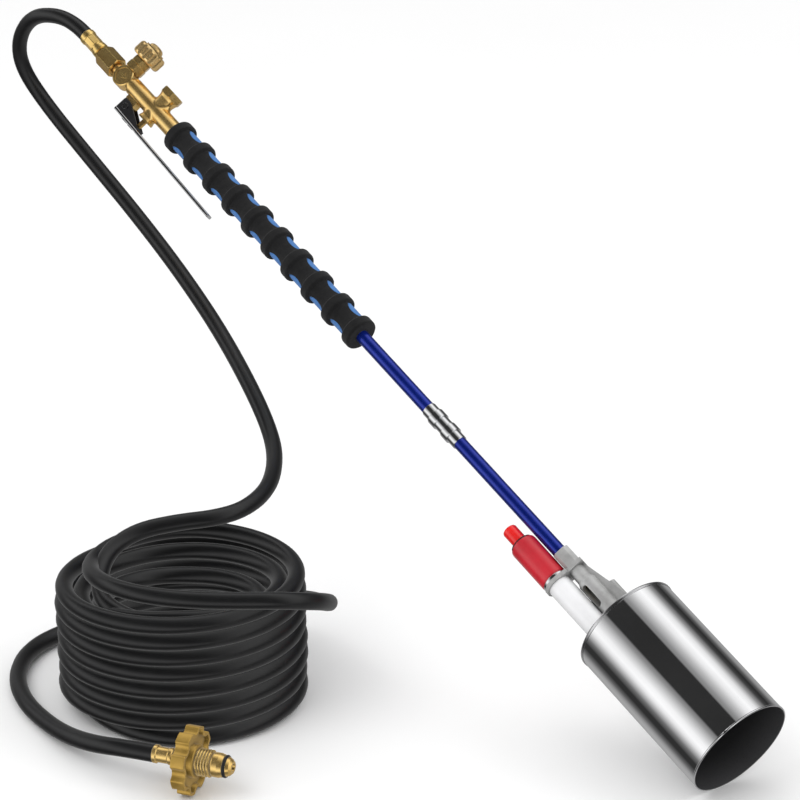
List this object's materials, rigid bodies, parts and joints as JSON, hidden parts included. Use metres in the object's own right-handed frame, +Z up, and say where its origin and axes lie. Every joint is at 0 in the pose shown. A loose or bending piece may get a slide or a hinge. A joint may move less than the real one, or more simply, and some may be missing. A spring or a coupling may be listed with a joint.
{
  "type": "roofing torch",
  "caption": "Gas torch with a burner bell, straight lance, ribbed grip with squeeze lever, push igniter, flow valve and coiled rubber hose ending in a handwheel connector.",
  "frame": {"origin": "on the lance axis at the middle of the ribbed hand grip", "axes": "+X level, along the torch from the hose end towards the burner bell, with the lance falling 23.8 degrees below it; +Z up; the floor that the bell's lip, the hose coil and the connector touch is the plane z = -0.3077 m"},
  "size_m": [1.0249, 0.4221, 0.4525],
  "materials": {
    "brass_ferrule": "satin crimped sleeve",
    "brass_fitting": "turned, semi-bright",
    "brass_cast": "satin forging",
    "seal_rubber": "matte black",
    "stem_steel": "turned",
    "brass_knob": "satin with a soft sheen",
    "spring_steel": "drawn wire",
    "pin_steel": "plated, bright",
    "yoke_black": "black oxide, semi-matte",
    "lever_chrome": "polished plate",
    "foam_black": "mottled cellular foam",
    "foam_blue": "smooth matte foam",
    "tube_blue": "gloss deep blue",
    "coupling_chrome": "polished bands",
    "button_red": "moulded red",
    "trim_black": "matte",
    "sleeve_red": "satin red",
    "clamp_chrome": "polished",
    "barrel_white": "moulded off-white",
    "ceramic": "glazed white ceramic",
    "lead_copper": "drawn copper",
    "casting_grey": "sandy as-cast",
    "bell_plate_steel": "pressed, satin",
    "bell_steel": "mirror polished",
    "brass_nut": "turned thread, semi-bright",
    "wheel_gold": "matte gold",
    "hose_rubber": "near black, soft sheen"
  },
  "bodies": {
    "lance": {"hose_ferrule": "brass_ferrule", "hose_barb": "brass_fitting", "inlet_nut": "brass_fitting", "needle_valve_body": "brass_cast", "bonnet_nut": "brass_fitting", "gland_nut": "brass_fitting", "stem_packing": "seal_rubber", "trigger_valve_body": "brass_cast", "valve_end_plug": "brass_fitting", "poppet_spring": "spring_steel", "rod_seal": "seal_rubber", "lever_pin": "pin_steel", "foam_grip": "foam_black", "grip_core": "foam_blue", "rear_tube": "tube_blue", "front_tube": "tube_blue", "tube_coupling": "coupling_chrome", "igniter_seal_ring": "trim_black", "igniter_sleeve": "sleeve_red", "igniter_clamp_ring": "clamp_chrome", "igniter_barrel": "barrel_white", "hammer_guide": "barrel_white", "piezo_crystal": "ceramic", "hammer_spring": "spring_steel", "button_spring": "spring_steel", "ignition_lead": "lead_copper", "electrode_insulator": "ceramic", "spark_electrode": "stem_steel", "head_casting": "casting_grey", "gas_jet": "brass_fitting", "bell_back_plate": "bell_plate_steel", "bell_screws": "pin_steel", "flame_tube": "bell_plate_steel", "flame_holder": "bell_plate_steel", "burner_bell": "bell_steel", "connector_ferrule": "brass_ferrule", "connector_nipple": "brass_fitting", "connector_o_ring": "seal_rubber", "hose_lead": "hose_rubber", "hose_coil": "hose_rubber", "hose_tail": "hose_rubber"},
    "lever": {"squeeze_lever": "lever_chrome", "lever_yoke": "yoke_black", "yoke_rivets": "pin_steel"},
    "plunger": {"valve_push_rod": "brass_fitting", "valve_poppet": "brass_fitting", "poppet_seal": "seal_rubber"},
    "stem": {"needle_stem": "stem_steel"},
    "knob": {"flow_knob": "brass_knob", "knob_cap": "brass_knob"},
    "button": {"igniter_button": "button_red"},
    "hammer": {"igniter_hammer": "stem_steel"},
    "wheel": {"connector_handwheel": "wheel_gold", "connector_nut": "brass_nut"}
  },
  "joints": [
    {"name": "lever_squeeze", "type": "hinge", "parent": "lance", "child": "lever", "pos_m": [-0.20097, -0.01302, 0.07513], "axis": [0.2933, -0.6863, 0.6655], "range_deg": [0, 4.5], "stiffness_Nm_per_rad": 6, "springref_deg": -5.73},
    {"name": "rod_lift", "type": "slide", "parent": "lance", "child": "plunger", "axis": [0.2767, 0.7273, 0.6281], "range_m": [0, 0.0019], "deforming": ["poppet_spring"]},
    {"name": "stem_rise", "type": "slide", "parent": "lance", "child": "stem", "axis": [0.2767, 0.7273, 0.6281], "range_m": [0, 0.0016]},
    {"name": "knob_turn", "type": "hinge", "parent": "stem", "child": "knob", "pos_m": [-0.21443, 0.02255, 0.11774], "axis": [0.2767, 0.7273, 0.6281], "range_deg": [0, 540]},
    {"name": "button_press", "type": "slide", "parent": "lance", "child": "button", "axis": [0.9151, 0, -0.4032], "range_m": [0, 0.006], "stiffness_N_per_m": 600, "springref_m": -0.004, "deforming": ["button_spring"]},
    {"name": "hammer_strike", "type": "slide", "parent": "lance", "child": "hammer", "axis": [0.9151, 0, -0.4032], "range_m": [0, 0.0035], "stiffness_N_per_m": 400, "springref_m": -0.001, "deforming": ["hammer_spring"]},
    {"name": "wheel_turn", "type": "hinge", "parent": "lance", "child": "wheel", "pos_m": [0.3238, -0.3306, -0.2797], "axis": [0.8616, 0.5075, 0], "continuous": true}
  ],
  "couplings": [
    {"joint": "rod_lift", "follows": "lever_squeeze", "m_per_rad": 0.0233},
    {"joint": "stem_rise", "follows": "knob_turn", "m_per_rad": 0.00015915}
  ]
}
